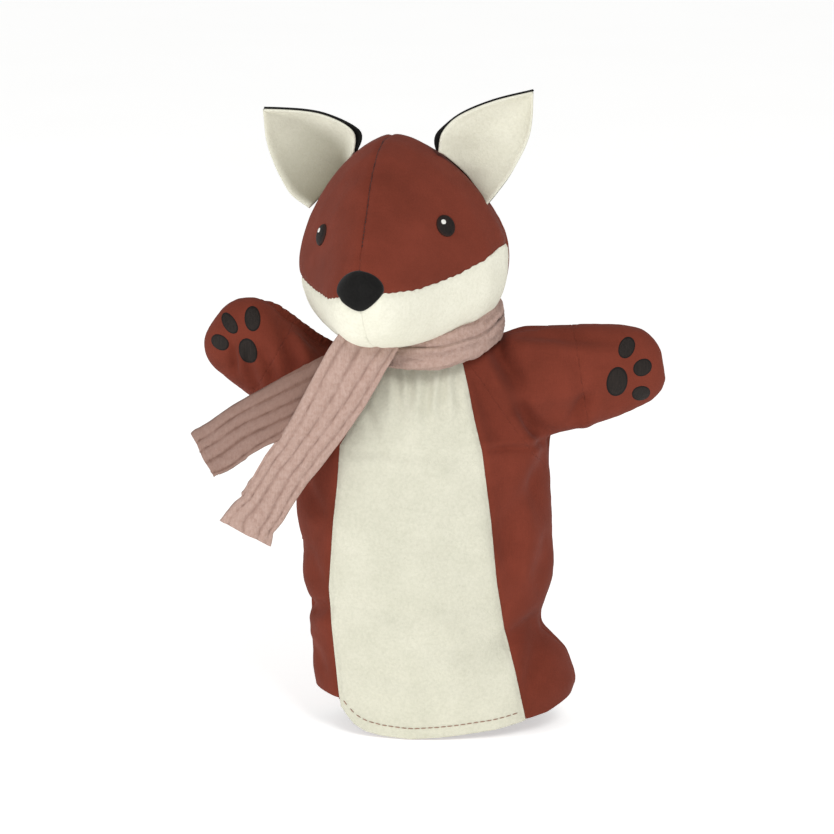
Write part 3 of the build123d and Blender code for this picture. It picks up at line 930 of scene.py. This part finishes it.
def pleat_painted_shade(ribs):
    """Painted shade between two pleats, more the deeper a place lies there, 0 to 0.42."""
    return 0.42 * (1 - smooth_step(0.15, 0.95, ribs))


def note(made, name, values):
    """Keeps one number for each point of a piece, for its material to read."""
    kept = made.data.attributes.new(name, "FLOAT", "POINT")
    for index, value in enumerate(values):
        kept.data[index].value = value


def tail_piece(name, path, seed, material, stack, lean, shade):
    """A hanging tail of folded muslin along a path of x, y, z, width; returns its length too.

    stack is how far its middle bulges, lean how far one edge turns back, and shade how much painted
    shade darkens the whole tail, most at its upper end.
    """
    bm = bmesh.new()
    bmesh.ops.create_grid(bm, x_segments=44, y_segments=120, size=0.5)
    length = sum((Vector(a[:3]) - Vector(b[:3])).length for a, b in zip(path, path[1:]))
    muslin_painted_shades = []
    for vert in bm.verts:
        across, t = vert.co.x + 0.5, vert.co.y + 0.5
        x, y, z, wide = spline(path, t)
        ahead, behind = spline(path, min(1, t + 0.02)), spline(path, max(0, t - 0.02))
        run = Vector((ahead[0] - behind[0], 0, ahead[2] - behind[2])).normalized()
        side = Vector((-run.z, 0, run.x))
        wave = 0.7 * noise.noise(Vector((t * 5, seed, 0)))
        wave += 0.2 * noise.noise(Vector((t * 17, seed, across)))
        offset = (across - 0.5) * wide + wave
        bulge = stack * (1 - (2 * across - 1) ** 4)
        ribs = pleats(across, t * length, seed)
        # painted shade: the dips between pleats, plus shade over the whole tail, most near its top
        muslin_painted_shades.append(pleat_painted_shade(ribs) + shade * (1.0 - 0.35 * smooth_step(0.3, 0.8, t)))
        lift = ribs * (1 - 0.5 * smooth_step(0.9, 1.0, t)) + bulge - lean * (across - 0.5) * wide
        ragged = 0.7 * noise.noise(Vector((across * 2.5, seed, 8.0))) * smooth_step(0.93, 1.0, t)
        vert.co = Vector((x, y - lift, z)) + side * offset + run * ragged
    bmesh.ops.reverse_faces(bm, faces=bm.faces)
    made = to_object(name, bm, material)
    note(made, "muslin_painted_shade", muslin_painted_shades)
    thicken(made, TAIL_WALL)
    return made, length


def loop_piece(material):
    """The pleated band round the neck."""
    bm = bmesh.new()
    bmesh.ops.create_grid(bm, x_segments=200, y_segments=40, size=0.5)
    for vert in bm.verts:
        turn, across = LOOP_START + LOOP_TURN * (vert.co.x + 0.5), vert.co.y + 0.5
        for (a, r0, z0), (b, r1, z1) in zip(LOOP_PATH, LOOP_PATH[1:]):
            if a <= turn <= b:
                share = smooth_step(a, b, turn)
                radius, height = r0 + (r1 - r0) * share, z0 + (z1 - z0) * share
        angle = 2 * pi * across
        arc = radians(turn) * radius
        lift = 1.5 * pleats(across * LOOP_PLEATS, arc, 2.0) - 2.0
        out, rise = LOOP_HALF[0] + lift * 0.9, LOOP_HALF[1] + lift
        dr = cos(angle) * out - sin(angle) * rise * LOOP_LEAN
        dz = sin(angle) * rise + cos(angle) * out * LOOP_LEAN
        facing = radians(turn)
        vert.co = (NECK[0] + sin(facing) * (radius + dr), -cos(facing) * (radius + dr), height + dz)
    bmesh.ops.remove_doubles(bm, verts=bm.verts, dist=0.01)
    bmesh.ops.holes_fill(bm, edges=[e for e in bm.edges if e.is_boundary], sides=0)
    bmesh.ops.recalc_face_normals(bm, faces=bm.faces)
    return to_object("scarf_loop_muslin", bm, material)


def make_scarf(paints):
    """Loop and tails; the CAD's knot is hidden under the loop."""
    loop = loop_piece(paints["muslin"])
    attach(loop, "glove")
    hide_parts("scarf_loop", "scarf_knot", "knot_thread")
    # the rear tail hangs behind the front one, so it gets painted shade
    # name, path, seed, stack, lean, shade
    for name, path, seed, stack, lean, shade in (("front", FRONT_TAIL, 1.0, 2.0, 0.0, 0.0),
                                                 ("rear", REAR_TAIL, 6.0, 1.6, -0.4, 0.85)):
        made, length = tail_piece(name + "_tail_muslin", path, seed, paints["muslin"],
                                  stack, lean, shade)
        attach(made, name + "_tail")
        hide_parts(f"scarf_{name}_tail")


# ---- stitching -------------------------------------------------------------------------
def stitch_row(name, points, tree, size, material):
    """Short raised stitches along a row of points on a surface; size is length and half."""
    length, half = size
    bm = bmesh.new()
    for first, second in zip(points, points[1:]):
        middle = (first + second) / 2
        hit, normal, _, _ = tree.find_nearest(middle)
        run = (second - first).normalized()
        side = normal.cross(run).normalized()
        turn = Matrix((run, side, normal)).transposed().to_4x4()
        stretch = Matrix.Diagonal((length / 2, half, half, 1))
        place = Matrix.Translation(hit + normal * half * 0.4) @ turn @ stretch
        bmesh.ops.create_icosphere(bm, subdivisions=1, radius=1.0, matrix=place)
    return to_object(name, bm, material)


def make_stitching(made, head, paints):
    """The brown row above the hem and the dark row up the forehead."""
    tree = surface_tree(made["belly"])
    row = []
    first, last, count = STITCH_ROW
    for step in range(count):
        x = first + step * (last - first) / (count - 1)
        z = along(BELLY_HEM, x) + STITCH_UP
        hit, _, _, _ = tree.ray_cast(Vector((x, -80, z)), Vector((0, 1, 0)))
        if hit:
            row.append(hit)
    hem = stitch_row("hem_stitching_thread", row, tree, HEM_STITCH, paints["brown"])
    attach(hem, "glove")
    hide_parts("hem_stitching")

    tree = surface_tree(head["head_face_left"], head["head_face_right"])
    place = head_place()
    row = []
    for step in range(46):
        angle = radians(6 + step * 1.8)
        start = place @ Vector((0, -90 * sin(angle), 2 + 90 * cos(angle)))
        toward = (place @ Vector((0, 0, 2))) - start
        hit, _, _, _ = tree.ray_cast(start, toward.normalized())
        if hit:
            row.append(hit)
    seam = stitch_row("forehead_stitching_thread", row, tree, FOREHEAD_STITCH, paints["dark_rust"])
    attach(seam, "head")


# ---- what stays from the CAD -----------------------------------------------------------
def paint_nodes(nodes, paints):
    """Finishes of the pieces that keep their CAD shape, in the neck and inside the head."""
    table = {"neck_casing": "rust", "head_neck": "rust", "neck_cord": "glint", "finger_tube": "card"}
    for name, paint in table.items():
        mesh = nodes[name].data
        mesh.materials.clear()
        mesh.materials.append(paints[paint])


def make_floor(material):
    """The surface it stands on, and nothing else round it."""
    bm = bmesh.new()
    bmesh.ops.create_grid(bm, x_segments=2, y_segments=2, size=FLOOR_HALF)
    bmesh.ops.translate(bm, vec=(0, 0, -FLOOR_DROP), verts=bm.verts)
    to_object("studio_floor", bm, material)


def make_lights():
    """A white room, a soft key light and a broad fill."""
    world = bpy.data.worlds.new("studio")
    bpy.context.scene.world = world
    world.use_nodes = True
    background = world.node_tree.nodes["Background"]
    background.inputs["Color"].default_value = (1, 1, 1, 1)
    background.inputs["Strength"].default_value = ROOM_LIGHT
    bpy.context.scene.view_settings.view_transform = "Standard"
    for name, place, size, power in LIGHTS:
        light = bpy.data.lights.new(name, "AREA")
        light.energy = power
        light.size = size
        lamp = bpy.data.objects.new(name, light)
        lamp.location = place
        lamp.rotation_euler = (Vector(LIGHT_AIM) - Vector(place)).to_track_quat("-Z", "Y").to_euler()
        bpy.context.scene.collection.objects.link(lamp)


def make_camera():
    """A long lens from the front, a little above."""
    data = bpy.data.cameras.new("camera")
    data.sensor_width = SENSOR
    data.lens = SENSOR * CAMERA_AWAY / VIEW_WIDTH
    camera = bpy.data.objects.new("camera", data)
    bpy.context.scene.collection.objects.link(camera)
    target = Vector(CAMERA_AIM)
    rise = radians(CAMERA_RISE)
    camera.location = target + Vector((0, -cos(rise), sin(rise))) * CAMERA_AWAY
    camera.rotation_euler = (target - camera.location).to_track_quat("-Z", "Y").to_euler()
    bpy.context.scene.camera = camera


def main():
    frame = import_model()
    paints = {
        "rust": rust_cotton(), "felt": black_felt(), "muslin": pink_muslin(),
        "cream": cream_canvas("muzzle_canvas", "#DCDAC8", "#EBE9D9"),
        "belly": cream_canvas("belly_canvas", "#C6C5B3", "#D8D6C5"),
        "lining": cream_canvas("ear_lining", "#D6D4C2", "#E6E4D4", "#78725E"),
        "pad": satin_thread("pad_thread", "#251E1A", "#0D0A08", 0.8),
        "eye": satin_thread("eye_thread", "#14110F", "#2C1A15", 0.84),
        "glint": plain_thread("white_thread", "#F2F0EA"),
        "brown": plain_thread("brown_thread", "#A07C69"),
        "dark_rust": plain_thread("dark_rust_thread", "#4A1F18"),
        "card": grey_card(), "floor": floor_paper(),
    }
    skin = glove_skin()
    made = make_glove(skin, paints)
    skin.free()
    make_pads({side: made[side + "_paw"] for side in ("left", "right")}, paints["pad"])
    declare_glove(made)
    head = make_head(paints)
    make_face(head, paints)
    make_ears(paints)
    make_scarf(paints)
    make_stitching(made, head, paints)
    paint_nodes(frame["nodes"], paints)
    make_floor(paints["floor"])
    make_lights()
    make_camera()


main()
